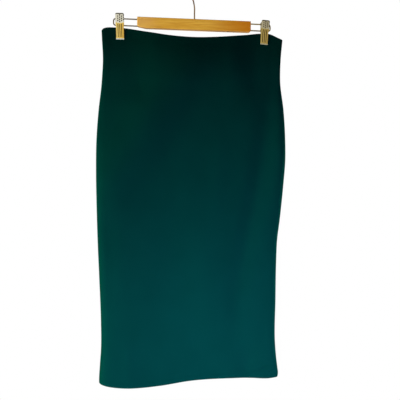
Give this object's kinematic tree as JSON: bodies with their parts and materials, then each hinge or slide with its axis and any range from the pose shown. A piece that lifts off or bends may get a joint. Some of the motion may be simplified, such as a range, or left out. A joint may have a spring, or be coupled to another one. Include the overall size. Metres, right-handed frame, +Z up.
{
  "type": "pencil skirt on clip hanger",
  "caption": "Straight pull-on midi pencil skirt in dark green knit, hung flat by its waistband from the clips of a wooden bar hanger with a wire hook.",
  "frame": {"origin": "inside of the hook's crown, where a rail carries the hanger", "axes": "+Z up; +X to the right as seen from the skirt's front; the front faces -Y and a rail runs along Y"},
  "size_m": [0.4257, 0.0597, 0.909],
  "materials": {
    "cloth": "smooth matt double knit, dark bottle green",
    "waistband": "the same knit folded round elastic",
    "wood": "clear varnish on straight-grained light wood",
    "plated_wire": "nickel plated steel wire",
    "plated_sheet": "nickel plated pressed steel",
    "spring_steel": "bare spring steel"
  },
  "bodies": {
    "root": {"skirt_front": "cloth", "skirt_back": "cloth", "waistband_front": "waistband", "waistband_back": "waistband", "hanger_bar": "wood", "hanger_hook": "plated_wire", "wire_loop_left": "plated_wire", "wire_loop_right": "plated_wire", "clip_left_front_plate": "plated_sheet", "clip_left_back_plate": "plated_sheet", "clip_left_spring": "spring_steel", "clip_right_front_plate": "plated_sheet", "clip_right_back_plate": "plated_sheet", "clip_right_spring": "spring_steel"}
  },
  "joints": []
}
